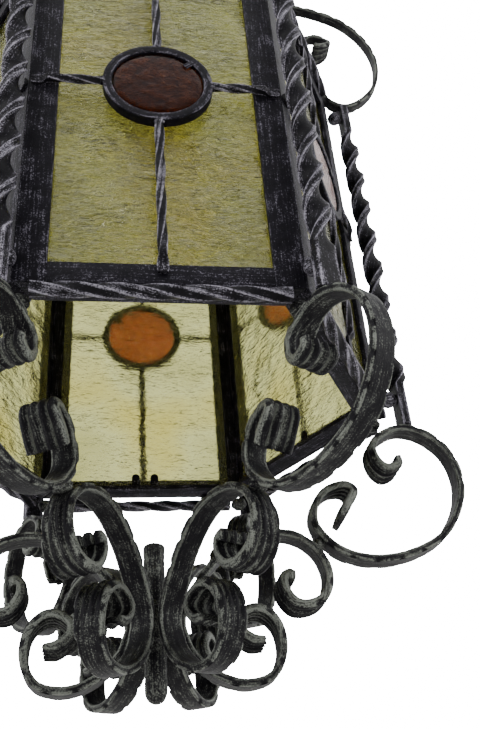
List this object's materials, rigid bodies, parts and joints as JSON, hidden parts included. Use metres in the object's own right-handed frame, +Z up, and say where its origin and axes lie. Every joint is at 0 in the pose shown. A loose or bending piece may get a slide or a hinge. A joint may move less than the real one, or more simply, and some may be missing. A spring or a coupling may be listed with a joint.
{
  "type": "hanging lantern",
  "caption": "Hexagonal wrought-iron hanging lantern with twisted bars, ring grilles over coloured glass panes, scrolls above and below, and a bulb inside.",
  "frame": {"origin": "the point inside the top of the hanging ring where a ceiling hook bears", "axes": "+Z up along the lantern's axis; +X through a corner post and its scrolls; -Y through the middle of a glass panel; the hanging ring lies in the YZ plane"},
  "size_m": [0.4752, 0.417, 0.8008],
  "materials": {
    "frame_iron": "blackened forged steel with silver dry-brushed edges, waxed satin",
    "scroll_iron": "blackened forged steel strip with pewter-grey rubbed faces, satin",
    "yellow_glass": "rolled and rippled yellow cathedral glass",
    "brown_glass": "mottled amber-brown cast glass disc",
    "zinc_steel": "zinc-plated steel",
    "dark_phenolic": "dark brown moulded phenolic, polished",
    "white_ceramic": "glazed white porcelain",
    "cap_brass": "plain rolled brass",
    "bulb_glass": "smooth blown glass, faintly frosted"
  },
  "bodies": {
    "ring": {"hanging_ring": "frame_iron"},
    "lantern": {"panel_frame_1": "frame_iron", "panel_frame_2": "frame_iron", "panel_frame_3": "frame_iron", "panel_frame_4": "frame_iron", "panel_frame_5": "frame_iron", "panel_frame_6": "frame_iron", "grille_1": "frame_iron", "grille_2": "frame_iron", "grille_3": "frame_iron", "grille_4": "frame_iron", "grille_5": "frame_iron", "grille_6": "frame_iron", "corner_post_1": "frame_iron", "corner_post_2": "frame_iron", "corner_post_3": "frame_iron", "corner_post_4": "frame_iron", "corner_post_5": "frame_iron", "corner_post_6": "frame_iron", "lower_scroll_1": "scroll_iron", "lower_scroll_2": "scroll_iron", "lower_scroll_3": "scroll_iron", "lower_scroll_4": "scroll_iron", "lower_scroll_5": "scroll_iron", "lower_scroll_6": "scroll_iron", "centre_scroll_1": "scroll_iron", "centre_scroll_2": "scroll_iron", "centre_scroll_3": "scroll_iron", "centre_scroll_4": "scroll_iron", "centre_scroll_5": "scroll_iron", "centre_scroll_6": "scroll_iron", "crown_scroll_1": "scroll_iron", "crown_scroll_2": "scroll_iron", "crown_scroll_3": "scroll_iron", "crown_scroll_4": "scroll_iron", "crown_scroll_5": "scroll_iron", "crown_scroll_6": "scroll_iron", "finial_rod": "scroll_iron", "roof_frame": "frame_iron", "crown_spindle": "frame_iron", "glass_pane_1": "yellow_glass", "glass_pane_2": "yellow_glass", "glass_pane_3": "yellow_glass", "glass_pane_4": "yellow_glass", "glass_pane_5": "yellow_glass", "glass_pane_6": "yellow_glass", "roof_glass": "yellow_glass", "disc_glass_1": "brown_glass", "disc_glass_2": "brown_glass", "disc_glass_3": "brown_glass", "disc_glass_4": "brown_glass", "disc_glass_5": "brown_glass", "disc_glass_6": "brown_glass", "lamp_nipple": "zinc_steel", "lamp_holder": "dark_phenolic", "holder_insert": "white_ceramic"},
    "contact": {"bulb_contact": "cap_brass"},
    "bulb": {"bulb_cap": "cap_brass", "bulb_glass": "bulb_glass"}
  },
  "joints": [
    {"name": "lantern_swing", "type": "hinge", "parent": "ring", "child": "lantern", "pos_m": [0, 0, -0.056], "axis": [0, 1, 0], "range_deg": [-75, 75]},
    {"name": "bulb_turn", "type": "hinge", "parent": "lantern", "child": "contact", "pos_m": [0, 0, -0.2896], "axis": [0, 0, -1], "range_deg": [0, 2520]},
    {"name": "bulb_travel", "type": "slide", "parent": "contact", "child": "bulb", "axis": [0, 0, -1], "range_m": [0, 0.0256]}
  ],
  "couplings": [
    {"joint": "bulb_travel", "follows": "bulb_turn", "m_per_rad": 0.00057773}
  ]
}
